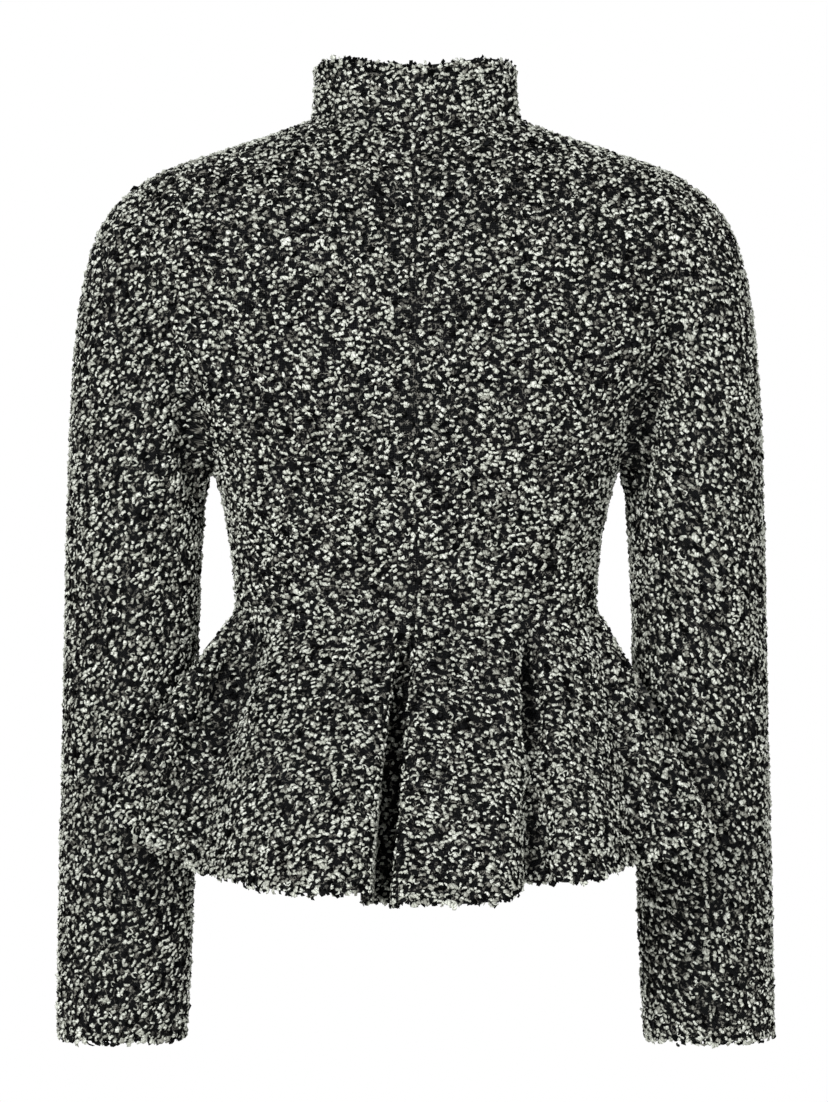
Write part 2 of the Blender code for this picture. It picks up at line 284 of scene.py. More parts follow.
def woven_ground():
    """Plain-woven dark wool under the curls: flat, thready, almost black, with pale flecks."""
    colours = bpy.context.scene.jacket_colours
    cloth = bpy.context.scene.jacket_cloth
    black, white = linear("#000000"), linear("#ffffff")
    tree = new_material("woven_wool_ground")
    flat = add_node(tree, "UVMap", uv_map="weave").outputs["UV"]
    # A wave texture repeats every tenth of pi over its scale.
    threads = math.pi / 10 / cloth.thread_pitch
    weft, warp = (
        add_node(
            tree,
            "TexWave",
            inputs={"Scale": threads, "Distortion": 3.0, "Detail": 1.0, "Detail Scale": 0.6},
            links={"Vector": flat},
            bands_direction=way,
        )
        for way in ("Y", "X")
    )
    crossed = add_node(
        tree, "Math", links={0: weft.outputs["Fac"], 1: warp.outputs["Fac"]}, operation="MAXIMUM"
    )
    # Single pale fibres wander between the curls: rings of a noise, broken by another.
    wander = add_node(
        tree,
        "TexNoise",
        inputs={"Scale": 1 / (3.0 * MM), "Detail": 1.0, "Roughness": 0.5, "Distortion": 0.5},
        links={"Vector": flat},
    )
    fibre = add_node(
        tree,
        "ValToRGB",
        links={"Fac": wander.outputs["Fac"]},
        stops=((0.43, black), (0.48, white), (0.51, white), (0.56, black)),
    )
    breaks = add_node(
        tree, "TexNoise", inputs={"Scale": 1 / (4.2 * MM), "Detail": 0.0}, links={"Vector": flat}
    )
    broken = add_node(
        tree, "ValToRGB", links={"Fac": breaks.outputs["Fac"]}, stops=((0.48, black), (0.62, white))
    )
    shown = add_node(
        tree,
        "Math",
        links={0: fibre.outputs["Color"], 1: broken.outputs["Color"]},
        operation="MULTIPLY",
    )
    wool = add_node(
        tree,
        "ValToRGB",
        links={"Fac": crossed.outputs["Value"]},
        stops=((0.5, colours.black), (1.0, colours.charcoal)),
    )
    shaded = add_node(
        tree,
        "Mix",
        inputs={"B": linear(GREY_WOOL)},
        links={"Factor": shown.outputs["Value"], "A": wool.outputs["Color"]},
        data_type="RGBA",
    )
    bump = add_node(
        tree,
        "Bump",
        inputs={"Strength": 0.7, "Distance": 0.6 * MM},
        links={"Height": crossed.outputs["Value"]},
    )
    shader = add_node(
        tree,
        "BsdfPrincipled",
        inputs={"Roughness": 0.95, "IOR": 1.5, "Specular IOR Level": 0.02},
        links={"Base Color": shaded.outputs[2], "Normal": bump.outputs["Normal"]},
    )
    add_node(tree, "OutputMaterial", links={"Surface": shader.outputs["BSDF"]})


def wrong_side():
    """The back of the weave: a flat even tweed of black and grey threads, with no curls."""
    colours = bpy.context.scene.jacket_colours
    cloth = bpy.context.scene.jacket_cloth
    tree = new_material("wool_wrong_side")
    flat = add_node(tree, "UVMap", uv_map="weave").outputs["UV"]
    # The threads are drawn twice as wide as they are, so that they show from arm's length.
    cells = add_node(
        tree,
        "TexVoronoi",
        inputs={"Scale": 0.5 / cloth.thread_pitch, "Randomness": 0.55},
        links={"Vector": flat},
        voronoi_dimensions="2D",
    )
    tone = add_node(
        tree,
        "ValToRGB",
        links={"Fac": cells.outputs["Color"]},
        stops=(
            (0.0, colours.black),
            (0.55, colours.charcoal),
            (0.75, linear("#6f6e68")),
            (1.0, colours.cream),
        ),
    )
    bump = add_node(
        tree,
        "Bump",
        inputs={"Strength": 0.6, "Distance": 0.8 * MM},
        links={"Height": cells.outputs["Distance"]},
    )
    shader = add_node(
        tree,
        "BsdfPrincipled",
        inputs={"Roughness": 0.95, "IOR": 1.5, "Specular IOR Level": 0.02},
        links={"Base Color": tone.outputs["Color"], "Normal": bump.outputs["Normal"]},
    )
    add_node(tree, "OutputMaterial", links={"Surface": shader.outputs["BSDF"]})


def curled_yarn():
    """Soft bouclé wool: matt dyed fibre, with painted shade brightest on a curl's crown, dark at
    its root.
    """
    colours = bpy.context.scene.jacket_colours
    tree = new_material("boucle_wool_yarn")
    place = add_node(tree, "UVMap", uv_map="OFBake")
    parts = add_node(tree, "SeparateXYZ", links={"Vector": place.outputs["UV"]})
    dye = add_node(
        tree,
        "ValToRGB",
        links={"Fac": parts.outputs["X"]},
        stops=(
            (0.0, colours.black),
            (0.42, colours.charcoal),
            (0.5, linear(GREY_WOOL)),
            (0.75, colours.cream),
            (1.0, colours.off_white),
        ),
    )
    # Painted shade: a curl's sides are painted dark towards the root, where they lie in shade, and
    # a painted shadow of a fine furrow between two plies runs along its crown.
    painted_shade = add_node(
        tree,
        "ValToRGB",
        links={"Fac": parts.outputs["Y"]},
        stops=(
            (0.1, linear("#242424")),
            (0.42, linear("#7c7d7c")),
            (0.58, linear("#ffffff")),
            (0.80, linear("#ffffff")),
            (0.93, linear("#929392")),
        ),
    )
    shaded = add_node(
        tree,
        "Mix",
        inputs={"Factor": 1.0},
        links={"A": dye.outputs["Color"], "B": painted_shade.outputs["Color"]},
        data_type="RGBA",
        blend_type="MULTIPLY",
    )
    shader = add_node(
        tree,
        "BsdfPrincipled",
        inputs={"Roughness": 0.9, "IOR": 1.5, "Specular IOR Level": 0.04},
        links={"Base Color": shaded.outputs[2]},
    )
    add_node(tree, "OutputMaterial", links={"Surface": shader.outputs["BSDF"]})


def matt_paper():
    """Paper under the jacket: matt, even and pale, with a faint grain 6 mm wide."""
    tree = new_material("matt_paper")
    place = add_node(tree, "TexCoord")
    grain = add_node(
        tree,
        "TexNoise",
        inputs={"Scale": 1 / (6 * MM), "Detail": 3.0},
        links={"Vector": place.outputs["Object"]},
    )
    floor = bpy.context.scene.jacket_colours.floor
    tone = add_node(
        tree,
        "ValToRGB",
        links={"Fac": grain.outputs["Fac"]},
        stops=((0.3, linear("#e9e9e7")), (0.7, floor)),
    )
    shader = add_node(
        tree,
        "BsdfPrincipled",
        inputs={"Roughness": 0.9},
        links={"Base Color": tone.outputs["Color"]},
    )
    add_node(tree, "OutputMaterial", links={"Surface": shader.outputs["BSDF"]})


def choose(sheet):
    """Makes a sheet the one selected and active object."""
    bpy.ops.object.select_all(action="DESELECT")
    bpy.context.view_layer.objects.active = sheet
    sheet.select_set(True)


def edit_all(operator, **settings):
    """Runs an operator of edit mode on the whole of the active mesh."""
    bpy.ops.object.mode_set(mode="EDIT")
    bpy.ops.mesh.select_all(action="SELECT")
    operator(**settings)
    bpy.ops.object.mode_set(mode="OBJECT")


def take_outer_face(name):
    """Copies a packed panel and keeps only its outer skin, as quads in a new object."""
    drop_old(bpy.data.objects, name + "_cloth")
    sheet = bpy.data.objects.new(name + "_cloth", frame["nodes"][name].data.copy())
    sheet.data.name = sheet.name
    sheet.data.materials.clear()
    bpy.context.collection.objects.link(sheet)
    choose(sheet)
    edit_all(bpy.ops.mesh.remove_doubles, threshold=WELD * MM)
    work = bmesh.new()
    work.from_mesh(sheet.data)
    skins = []
    unseen = set(work.faces)
    steep = math.radians(SKIN_ANGLE)
    while unseen:
        first = unseen.pop()
        group = [first]
        for face in group:
            for edge in face.edges:
                if len(edge.link_faces) != 2 or edge.calc_face_angle() > steep:
                    continue
                for other in edge.link_faces:
                    if other in unseen:
                        unseen.discard(other)
                        group.append(other)
        skins.append(group)
    skins.sort(key=len, reverse=True)
    walls = sorted(skins[:2], key=lambda group: sum(face.calc_area() for face in group))
    outer = set(walls[1])
    # A lone corner triangle stands steeper than the rest of the skin that it belongs to.
    for group in skins[2:]:
        if len(group) == 1:
            nearest = min(group[0].edges, key=lambda edge: edge.calc_face_angle())
            if outer.intersection(nearest.link_faces):
                outer.add(group[0])
    if abs(len(outer) - len(walls[0])) > 1:
        raise RuntimeError(f"{name}: the panel has no clear outer and inner skin")
    bmesh.ops.delete(work, geom=[f for f in work.faces if f not in outer], context="FACES")
    work.to_mesh(sheet.data)
    work.free()
    bent = math.radians(QUAD_ANGLE)
    edit_all(bpy.ops.mesh.tris_convert_to_quads, face_threshold=bent, shape_threshold=bent)
    return sheet


def apply_modifier(sheet, kind, **settings):
    """Adds a modifier with its settings to the sheet and applies it."""
    modifier = sheet.modifiers.new(kind.lower(), kind)
    for name, value in settings.items():
        setattr(modifier, name, value)
    bpy.ops.object.modifier_apply(modifier=modifier.name)


def search_tree(points):
    """A search tree of points."""
    tree = KDTree(len(points))
    for k, point in enumerate(points):
        tree.insert(point, k)
    tree.balance()
    return tree


def fold_share(points, normals, side, start, end, half_width):
    """How strongly a fold works on each point, from 0 to 1, and the way from its line."""
    a = np.array(start) * MM
    along = np.array(end) * MM - a
    spots = points[:, (0, 2)] - a
    part = np.clip(spots @ along / (along @ along), 0, 1)
    away = spots - part[:, None] * along
    gap = np.linalg.norm(away, axis=1) / (half_width * MM)
    first, stretch = FOLD_FADE
    fade = np.sin(math.pi * (first + stretch * part)) * np.clip(2 * side * normals[:, 1], 0, 1)
    return fade * np.exp(-gap * gap), away


def crease(name):
    """Presses the soft troughs and ridges into a panel's skin and closes its deep folds."""
    mesh = sheets[name]["object"].data
    points = np.array([vertex.co for vertex in mesh.vertices])
    normals = np.array([vertex.normal for vertex in mesh.vertices])
    sunk = np.zeros(len(points))
    # The waist seam holds the peplum's top edge round, and its folds open just below.
    free = np.ones(len(points))
    if name.startswith("peplum"):
        rim = sheets[name]["edges"]["ends"].reshape(-1, 3)
        waist = search_tree(rim[rim[:, 2] > FOLD_TOP * MM])
        free = np.array([min(1.0, waist.find(point)[2] / (FOLD_START * MM)) for point in points])
    for panel, side, *line, depth in CREASES:
        if name.startswith(panel):
            sunk += depth * MM * free * fold_share(points, normals, side, *line)[0]
    shut = np.zeros((len(points), 2))
    for panel, side, *line, closing in PINCHES:
        if name.startswith(panel):
            share, away = fold_share(points, normals, side, *line)
            shut += away * (closing * free * share)[:, None]
    points -= normals * sunk[:, None]
    points[:, (0, 2)] -= shut
    mesh.vertices.foreach_set("co", points.ravel())
    mesh.update()
    sheets[name]["edges"] = edge_arrays(name)


def edge_arrays(name):
    """Ends, end normals and outward directions of a panel's outer edges."""
    work = bmesh.new()
    work.from_mesh(sheets[name]["object"].data)
    edges = [edge for edge in work.edges if edge.is_boundary]
    found = {"index": [], "ends": [], "normals": [], "out": []}
    for edge in edges:
        one, two = edge.verts
        inside = edge.link_faces[0].calc_center_median()
        out = (one.co + two.co) / 2 - inside
        out -= out.project(one.co - two.co)
        found["index"].append((one.index, two.index))
        found["ends"].append((tuple(one.co), tuple(two.co)))
        found["normals"].append((tuple(one.normal), tuple(two.normal)))
        found["out"].append(tuple(out.normalized()))
    work.free()
    return {key: np.array(value) for key, value in found.items()}


def lay_out(name, levels):
    """Makes a panel's smooth skin and notes its outer edges."""
    sheet = take_outer_face(name)
    apply_modifier(
        sheet,
        "SUBSURF",
        levels=levels,
        render_levels=levels,
        boundary_smooth="PRESERVE_CORNERS",
    )
    sheets[name] = {"object": sheet}
    sheets[name]["edges"] = edge_arrays(name)


def pin(name):
    """Notes what each outer vertex of a panel is sewn to: a panel, its edge and the place on it."""
    own = sheets[name]["edges"]
    others = [other for other, *_ in ALL_PANELS if other != name]
    owners = [(other, k) for other in others for k in range(len(sheets[other]["edges"]["index"]))]
    starts = np.concatenate([sheets[other]["edges"]["ends"][:, 0] for other in others])
    runs = np.concatenate([sheets[other]["edges"]["ends"][:, 1] for other in others]) - starts
    pinned = {}
    for k, place in zip(own["index"].ravel(), own["ends"].reshape(-1, 3)):
        part = np.clip(((place - starts) * runs).sum(axis=1) / (runs * runs).sum(axis=1), 0, 1)
        gaps = np.linalg.norm(starts + part[:, None] * runs - place, axis=1)
        best = int(gaps.argmin())
        if gaps[best] < SEAM_REACH * MM or name.startswith(ALL_SEWN):
            pinned[k] = (*owners[best], part[best])
    sheets[name]["pinned"] = pinned


def sew(name):
    """For each pinned vertex of a panel: the middle of its seam and the seam's normal."""
    own = sheets[name]["edges"]
    ends, facings = (own[key].reshape(-1, 3) for key in ("ends", "normals"))
    sewn = {}
    for k, place, facing in zip(own["index"].ravel(), ends, facings):
        if k in sheets[name]["pinned"]:
            other, edge, part = sheets[name]["pinned"][k]
            theirs = sheets[other]["edges"]
            share = np.array(((1 - part,), (part,)))
            normal = facing + (theirs["normals"][edge] * share).sum(axis=0)
            middle = (place + (theirs["ends"][edge] * share).sum(axis=0)) / 2
            sewn[k] = middle, normal / np.linalg.norm(normal)
    return sewn


def flat_sides(flat):
    """Two sides of each flat triangle, and twice its area with the sign of its turn."""
    e, f = flat[:, 1] - flat[:, 0], flat[:, 2] - flat[:, 0]
    return e, f, e[:, 0] * f[:, 1] - e[:, 1] * f[:, 0]


def rows_of(items, key, width, kind=float):
    """One property of all the items, as rows of numbers."""
    found = np.empty(len(items) * width, kind)
    items.foreach_get(key, found)
    return found.reshape(-1, width)


def lay_flat(sheet, lean):
    """Unwraps the sheet to a flat cut in metres, with its weft along U."""
    edit_all(bpy.ops.uv.unwrap, method="ANGLE_BASED", margin=0.0)
    mesh = sheet.data
    layer = mesh.uv_layers.active
    layer.name = "weave"
    mesh.calc_loop_triangles()
    corners = rows_of(mesh.loop_triangles, "vertices", 3, np.int32)
    loops = rows_of(mesh.loop_triangles, "loops", 3, np.int32)
    flat = rows_of(layer.data, "uv", 2)
    p = rows_of(mesh.vertices, "co", 3)[corners]
    e, f, twice = flat_sides(flat[loops])
    worn = np.linalg.norm(np.cross(p[:, 1] - p[:, 0], p[:, 2] - p[:, 0]), axis=1)
    rise_e, rise_f = p[:, 1, 2] - p[:, 0, 2], p[:, 2, 2] - p[:, 0, 2]
    across = (rise_e * f[:, 1] - rise_f * e[:, 1]).sum()
    up = np.array((across, (rise_f * e[:, 0] - rise_e * f[:, 0]).sum()))
    up *= np.sign(twice.sum()) / np.linalg.norm(up)
    turn = math.radians(90 - lean) - math.atan2(up[1], up[0])
    turned = np.array(((math.cos(turn), math.sin(turn)), (-math.sin(turn), math.cos(turn))))
    flat = flat @ turned * math.sqrt(worn.sum() / abs(twice.sum()))
    flat -= flat.min(axis=0)
    layer.data.foreach_set("uv", flat.ravel())
    return corners, flat[loops]


def cut_panel(name, lean):
    """Finishes one panel's cloth: laid flat for its weave, sewn and given its thickness."""
    cloth = bpy.context.scene.jacket_cloth
    sheet = sheets[name]["object"]
    mesh = sheet.data
    choose(sheet)
    mesh.uv_layers.new(name="weave")
    corners, flat = lay_flat(sheet, lean)
    sewn = sew(name)
    edges = sheets[name]["edges"]
    pinned = sheets[name]["pinned"]
    group = name.split("_")[0]
    past = {}
    seam = []
    raw = []
    for (one, two), out in zip(edges["index"], edges["out"]):
        for k in (one, two):
            past[k] = past.get(k, 0) + out
        if not (one in sewn and two in sewn):
            raw.append((one, two, out))
        elif pinned[one][0].startswith(group) and pinned[two][0].startswith(group):
            seam.append((one, two))
    past = {k: out / max(np.linalg.norm(out), TINY) for k, out in past.items()}
    moved = np.array([vertex.co - vertex.normal * cloth.curl_depth for vertex in mesh.vertices])
    for k, (middle, normal) in sewn.items():
        pull = cloth.seam_pull if pinned[k][0].startswith(group) else 0.0
        moved[k] = middle + past[k] * cloth.seam_lap - normal * (cloth.curl_depth + pull)
    for k in past.keys() - sewn.keys():
        inset = cloth.raw_in
        if group != "peplum":
            inset += RAW_ROUND * MM * max(0.0, 1 - 2 * abs(mesh.vertices[k].normal.y))
        # The collar's two ends stay where they meet at the centre front.
        moved[k] -= past[k] * abs(past[k][2]) * inset
    mesh.vertices.foreach_set("co", moved.ravel())
    mesh.update()
    sheets[name].update(
        points=np.array([vertex.co for vertex in mesh.vertices]),
        normals=np.array([vertex.normal for vertex in mesh.vertices]),
        corners=corners,
        flat=flat,
        seam=seam,
        raw=raw,
        area=float(np.abs(flat_sides(flat)[2]).sum() / 2),
        size=tuple(float(x) for x in flat.reshape(-1, 2).max(axis=0)),
    )
    mesh.materials.append(bpy.data.materials["woven_wool_ground"])
    mesh.materials.append(bpy.data.materials["wool_wrong_side"])
    apply_modifier(
        sheet,
        "SOLIDIFY",
        thickness=cloth.wall,
        offset=-1.0,
        use_even_offset=False,
        material_offset=1,
        material_offset_rim=0,
    )
    bpy.ops.object.shade_smooth_by_angle(angle=math.radians(SMOOTH_ANGLE))
    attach(sheet, "root")
    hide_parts(name)


def cut_panels(panels):
    """Finishes the cloth of a group of panels."""
    for name, _, lean, *_ in panels:
        cut_panel(name, lean)
    return {"FINISHED"}


def curl_shape(length, bend, radius, rise, sides, rings):
    """One curl: points in metres, triangles, each point's nearness to the crown and place along."""
    steps = (np.arange(rings) + RING_START) / (rings - RING_WIDEN)
    places = np.concatenate(([0.0], steps, [1.0]))
    run = (places - 0.5) * length
    tight = bend / length
    path = np.stack(
        (
            np.sin(run * tight) / tight,
            (1 - np.cos(run * tight)) / tight,
            rise * (1 - (2 * places - 1) ** 2),
        ),
        axis=1,
    )
    path[:, 1] -= path[:, 1].mean()
    heading = np.gradient(path, axis=0)
    heading /= np.linalg.norm(heading, axis=1)[:, None]
    across = np.cross((0.0, 0.0, 1.0), heading)
    across /= np.linalg.norm(across, axis=1)[:, None]
    above = np.cross(heading, across)
    points = [path[0] - heading[0] * radius * TIP_REACH]
    crown = [(TIP_CROWN, 0.0)]
    for k in range(1, rings + 1):
        for side in range(sides):
            angle = math.tau * (side + 0.5 * (k % 2)) / sides
            thick = radius * (1 - TAPER * (2 * places[k] - 1) ** 2)
            way = math.cos(angle) * across[k] + FLATTENED * math.sin(angle) * above[k]
            points.append(path[k] + thick * way)
            crown.append((0.5 + 0.5 * math.sin(angle), places[k]))
    points.append(path[-1] + heading[-1] * radius * TIP_REACH)
    crown.append((TIP_CROWN, 1.0))
    last = len(points) - 1
    faces = []
    for side in range(sides):
        after = (side + 1) % sides
        faces.append((0, 1 + after, 1 + side))
        top = 1 + (rings - 1) * sides
        faces.append((last, top + side, top + after))
        for k in range(rings - 1):
            a, b = 1 + k * sides + side, 1 + k * sides + after
            faces.append((a, b, b + sides))
            faces.append((a, b + sides, a + sides))
    return np.array(points) * MM, np.array(faces), np.array(crown)


def curl_mesh(name, kinds, spots, weft, normals, yaw, scale, shade, choice):
    """Joins many curls into one mesh, each at its spot with its own turn, size and shade."""
    across = np.cross(normals, weft)
    points, faces, coords = [], [], []
    start = 0
    for number, kind in enumerate(kinds):
        shape, triangles, crown = curl_shape(*kind[:-1])
        mine = np.flatnonzero(choice == number)
        if not len(mine):
            continue
        turn = yaw[mine]
        one = weft[mine] * np.cos(turn)[:, None] + across[mine] * np.sin(turn)[:, None]
        two = across[mine] * np.cos(turn)[:, None] - weft[mine] * np.sin(turn)[:, None]
        axes = np.stack((one, two, normals[mine]), axis=1)
        placed = np.einsum("pk,nkx->npx", shape, axes) * scale[mine][:, None, None]
        points.append((placed + spots[mine][:, None, :]).reshape(-1, 3))
        joined = triangles[None] + (start + np.arange(len(mine)) * len(shape))[:, None, None]
        faces.append(joined.reshape(-1, 3))
        pair = np.empty((len(mine), len(shape), 2))
        own = shade[mine][:, None]
        # Painted shade: the yarn's tone is dimmed in bands where its twist turns away.
        twist = np.sin(TWIST * crown[None, :, 1] + TWIST_START * own)
        painted_dip = TWIST_PAINTED_SHADE * np.clip(twist, 0, 1)
        pair[:, :, 0] = np.clip(own - painted_dip, MAP_RIM, 1 - MAP_RIM)
        # The second channel is nearness to the crown, which sets the painted shade of root and
        # furrow.
        pair[:, :, 1] = 2 * MAP_RIM + (1 - 4 * MAP_RIM) * crown[None, :, 0]
        coords.append(pair.reshape(-1, 2))
        start += len(mine) * len(shape)
    points, faces, coords = (np.concatenate(parts) for parts in (points, faces, coords))
    drop_old(bpy.data.objects, name)
    mesh = bpy.data.meshes.new(name)
    mesh.from_pydata(points.tolist(), [], faces.tolist())
    mesh.uv_layers.new(name="OFBake").data.foreach_set("uv", coords[faces.ravel()].ravel())
    mesh.shade_smooth()
    mesh.materials.append(bpy.data.materials["boucle_wool_yarn"])
    piece = bpy.data.objects.new(name, mesh)
    bpy.context.collection.objects.link(piece)
    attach(piece, "root")
    return piece


def weft_of(points, flat):
    """Direction of the weft on each triangle of the worn cloth."""
    e, f, twice = flat_sides(flat)
    twice = np.where(np.abs(twice) < TINY_AREA, TINY_AREA, twice)
    one, two = points[:, 1] - points[:, 0], points[:, 2] - points[:, 0]
    return (one * f[:, 1:2] - two * e[:, 1:2]) / twice[:, None]


def unit(vectors):
    """Vectors at length one."""
    return vectors / np.maximum(np.linalg.norm(vectors, axis=1), TINY)[:, None]


def lay_along(vectors, normals):
    """Vectors at length one, laid square to the normals."""
    return unit(vectors - normals * (vectors * normals).sum(axis=1)[:, None])


def beside_seams(sheet, spots):
    """How far each spot lies from the sheet's plain seams, and which way the nearest one runs."""
    points, runs = [], []
    for a, b in sheet["seam"]:
        start, end = sheet["points"][a], sheet["points"][b]
        steps = max(1, int(np.linalg.norm(end - start) / (SEAM_STEP * MM)))
        points += [start + (end - start) * k / steps for k in range(steps + 1)]
        runs += [end - start] * (steps + 1)
    if not points:
        return np.ones(len(spots)), np.ones((len(spots), 3))
    tree = search_tree(points)
    found = [tree.find(spot) for spot in spots]
    return np.array([gap for _, _, gap in found]), unit(np.array(runs)[[k for _, k, _ in found]])


def mottle(shape, chance):
    """Smooth uneven streaks over rows and curls, about nought with a spread of one."""
    tall, wide = STREAK
    coarse = chance.normal(size=(shape[0] // tall + 3, shape[1] // wide + 3))
    r, c = np.arange(shape[0]) / tall, np.arange(shape[1]) / wide
    r0, c0 = r.astype(int), c.astype(int)
    fr, fc = (r - r0)[:, None], (c - c0)[None]
    upper = coarse[r0][:, c0] * (1 - fc) + coarse[r0][:, c0 + 1] * fc
    lower = coarse[r0 + 1][:, c0] * (1 - fc) + coarse[r0 + 1][:, c0 + 1] * fc
    return upper * (1 - fr) + lower * fr


def cloth_under(flat, u, v):
    """The triangle of the flat cloth that each place lies on, or -1, and its weights there."""
    cloth = bpy.context.scene.jacket_cloth
    pitch = np.array((cloth.curl_pitch, cloth.row_pitch))
    first = np.floor(flat.min(axis=1) / pitch - STRAY_REACH).astype(int).clip(0)
    last = np.ceil(flat.max(axis=1) / pitch + STRAY_REACH).astype(int)
    triangle = np.full(u.shape, -1)
    weights = np.zeros(u.shape + (3,))
    for k, (a, b, c) in enumerate(flat):
        e, f = b - a, c - a
        twice = e[0] * f[1] - e[1] * f[0]
        if abs(twice) < TINY_AREA:
            continue
        block = slice(first[k, 1], last[k, 1]), slice(first[k, 0], last[k, 0])
        x, y = u[block] - a[0], v[block] - a[1]
        s = (x * f[1] - y * f[0]) / twice
        t = (e[0] * y - e[1] * x) / twice
        inside = (s >= 0) & (t >= 0) & (s + t <= 1)
        if inside.any():
            triangle[block][inside] = k
            weights[block][inside] = np.stack((1 - s - t, s, t), axis=-1)[inside]
    return triangle, weights


def pick(kinds, count, chance):
    """Numbers of curl shapes, drawn by their shares."""
    return chance.choice(len(kinds), count, p=[kind[-1] for kind in kinds])


def loop_panel(name, seed, pale_share, yaw_spread):
    """Covers one panel with rows of pale and dark curls that follow its weft."""
    cloth = bpy.context.scene.jacket_cloth
    sheet = sheets[name]
    chance = np.random.default_rng(cloth.seed + seed)
    wide, high = sheet["size"]
    rows = int(high / cloth.row_pitch) + 2
    columns = int(wide / cloth.curl_pitch) + 2
    row, column = np.meshgrid(np.arange(rows), np.arange(columns), indexing="ij")
    along, aside = CURL_STRAY
    # Every other row is set over by half a pitch.
    u = (column + 0.5 * (row % 2) + chance.uniform(-along, along, row.shape)) * cloth.curl_pitch
    v = (row + chance.normal(0, aside, row.shape)) * cloth.row_pitch
    triangle, weights = cloth_under(sheet["flat"], u, v)
    # Each run of places is dealt its pale curls evenly, and streaks shift the deal a little.
    deal = chance.random((rows, columns // DEAL + 1, DEAL)).argsort(axis=2).argsort(axis=2)
    deal = (deal + chance.random(deal.shape)).reshape(rows, -1)[:, :columns] / DEAL
    pale = deal + cloth.mottle * mottle(row.shape, chance) > 1 - pale_share
    own, shared = TONE_SHARES
    tone = chance.normal(size=row.shape)
    tone = own * tone + shared * np.roll(tone, 1, axis=1)
    dark = ~pale & (chance.random(row.shape) < cloth.dark_share)
    kept = (triangle >= 0) & (pale | dark)
    k = triangle[kept]
    w = weights[kept][:, :, None]
    corners = sheet["corners"][k]
    spots = (sheet["points"][corners] * w).sum(axis=1)
    normals = unit((sheet["normals"][corners] * w).sum(axis=1))
    weft = lay_along(weft_of(sheet["points"][corners], sheet["flat"][k]), normals)
    is_pale = pale[kept]
    gap, run = beside_seams(sheet, spots)
    turned = gap < SEAM_SIDE * MM
    weft = np.where(turned[:, None], run, weft)
    count = len(spots)
    least_lift, more_lift = CURL_LIFT
    lift = cloth.curl_lift * (least_lift + more_lift * chance.random(count))
    spots = spots + normals * lift[:, None]
    normals = unit(normals + chance.normal(0, cloth.curl_tilt, (count, 3)))
    weft = lay_along(weft, normals)
    yaw = chance.normal(0, 1, count) * np.where(turned, SEAM_TURN, yaw_spread)
    # Half of the curls lie the other way round.
    yaw += math.pi * (chance.random(count) < 0.5)
    scale = np.exp(chance.normal(*CURL_SIZE, count)) * np.where(is_pale, 1.0, DARK_SIZE)
    shades = [
        np.clip(middle + spread * tone[kept], least, most)
        for middle, spread, least, most in (PALE_SHADE, DARK_SHADE)
    ]
    shade = np.where(is_pale, *shades)
    choice = np.where(
        is_pale,
        pick(LIGHT_CURLS, count, chance),
        len(LIGHT_CURLS) + pick(DARK_CURLS, count, chance),
    )
    bare = cloth.seam_bare * (SLEEVE_BARE if name.startswith("sleeve") else 1.0)
    keep = np.flatnonzero(gap > bare)
    return curl_mesh(
        name + "_curls",
        LIGHT_CURLS + DARK_CURLS,
        *(array[keep] for array in (spots, weft, normals, yaw, scale, shade, choice)),
    )


def fray_panel(name, seed):
    """Curls and loose threads along the panel's raw edge, or nothing where every edge is sewn."""
    cloth = bpy.context.scene.jacket_cloth
    sheet = sheets[name]
    if not sheet["raw"]:
        return None
    least, most, size, pale_share = FRAY[name.split("_")[0]]
    chance = np.random.default_rng(cloth.seed + FRAY_SEED + seed)
    points, normals = sheet["points"], sheet["normals"]
    spots, weft, facing, thread = [], [], [], []
    for a, b, out in sheet["raw"]:
        run = points[b] - points[a]
        length = float(np.linalg.norm(run))
        facing_out = unit((normals[a] + normals[b])[None])[0]
        drop = chance.normal(0, FRAY_WAVE) * MM
        for pitch, is_thread in ((cloth.fray_pitch, False), (cloth.thread_gap, True)):
            for _ in range(chance.poisson(length / pitch)):
                reach = drop + chance.uniform(least, most) * MM
                depth = chance.uniform(*FRAY_DEPTH) * MM
                spots.append(points[a] + run * chance.random() + out * reach + facing_out * depth)
                # Threads hang off the edge, and so do half of the curls.
                weft.append(out if is_thread or chance.random() < 0.5 else run / length)
                facing.append(facing_out)
                thread.append(is_thread)
    count = len(spots)
    thread = np.array(thread)
    pale = chance.random(count) < pale_share
    shade = np.where(pale, *[chance.uniform(*shades, count) for shades in FRAY_SHADES])
    choice = np.where(thread, len(LIGHT_CURLS), pick(LIGHT_CURLS, count, chance))
    # Threads and curls have turns of their own.
    turns = [chance.normal(0, FRAY_TURN, count) for _ in ("threads", "curls")]
    yaw = np.where(thread, *turns)
    scale = np.exp(chance.normal(size, FRAY_SPREAD, count))
    return curl_mesh(
        name + "_frayed_edge",
        LIGHT_CURLS + LOOSE_THREADS,
        np.array(spots),
        *(unit(np.array(ways)) for ways in (weft, facing)),
        *(yaw, scale, shade, choice),
    )


def lay_floor(context):
    """Lays the pale paper floor under the jacket."""
    bpy.ops.object.select_all(action="DESELECT")
    bpy.ops.mesh.primitive_grid_add(
        x_subdivisions=FLOOR_CELLS, y_subdivisions=FLOOR_CELLS, size=FLOOR_SIDE
    )
    floor = context.object
    floor.name = "studio_floor"
    drop = Matrix.Translation((0, 0, context.scene.jacket_studio.floor_height))
    floor.data.transform(drop)
    matt_paper()
    floor.data.materials.append(bpy.data.materials["matt_paper"])


def set_camera(context):
    """Sets the camera behind the jacket, with the lens that shows the set height."""
    studio = context.scene.jacket_studio
    place = Vector(studio.view_middle) + Vector((0, studio.camera_gap, 0))
    bpy.ops.object.camera_add(location=place, rotation=(math.pi / 2, 0, math.pi))
    camera = context.object
    camera.name = "back_view"
    camera.data.sensor_width = SENSOR_WIDTH
    camera.data.lens = camera.data.sensor_width * studio.camera_gap / studio.view_height
    context.scene.camera = camera


